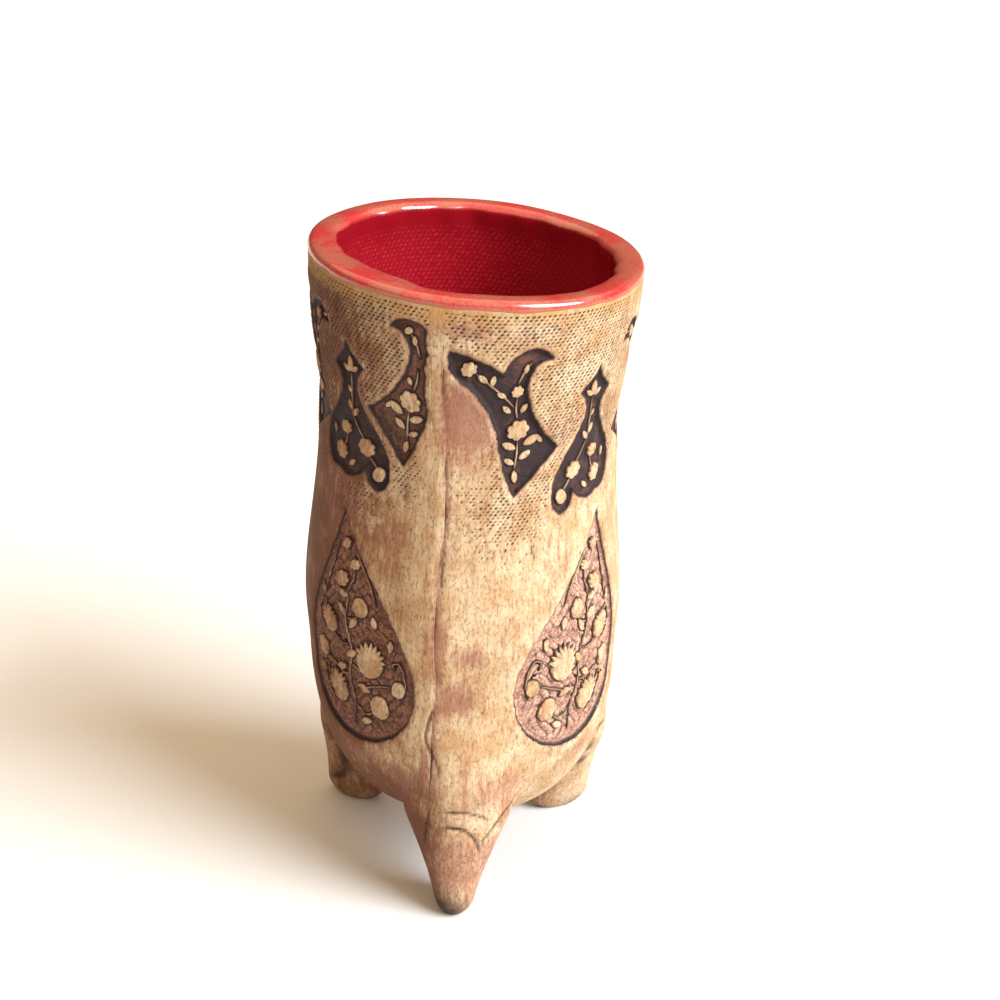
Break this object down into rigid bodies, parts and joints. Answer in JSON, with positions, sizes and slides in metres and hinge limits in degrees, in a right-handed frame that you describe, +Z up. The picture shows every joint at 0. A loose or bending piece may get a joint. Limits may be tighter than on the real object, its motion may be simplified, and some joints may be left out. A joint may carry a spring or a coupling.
{
  "type": "slab-built tripod vase",
  "caption": "Hand-built stoneware vase rolled from a clay slab, round-bottomed on pointed feet, with impressed slip panels outside and a glossy red glaze inside and over the rim.",
  "frame": {"origin": "centre of the vase's outline on the surface it stands on", "axes": "+Z up through the mouth, -Y toward the front foot and the seam, +X to the right of the picture"},
  "size_m": [0.089, 0.09, 0.1812],
  "materials": {
    "clay": "matt unglazed buff stoneware with a rubbed brown stain",
    "glaze": "glossy red glaze",
    "slip": "matt dark purple-brown slip"
  },
  "bodies": {
    "root": {"wall_slab": "clay", "seam_coil": "clay", "floor_slab": "clay", "foot_front": "clay", "foot_right": "clay", "foot_left": "clay", "glaze_liner": "glaze", "tulip_inlay_1": "slip", "tulip_inlay_2": "slip", "tulip_inlay_3": "slip", "tulip_inlay_4": "slip", "tulip_inlay_5": "slip", "tulip_inlay_6": "slip", "bud_inlay_1": "slip", "bud_inlay_2": "slip", "bud_inlay_3": "slip", "bud_inlay_4": "slip", "bud_inlay_5": "slip", "drop_inlay_left": "slip", "drop_inlay_right": "slip", "drop_inlay_back": "slip"}
  },
  "joints": []
}
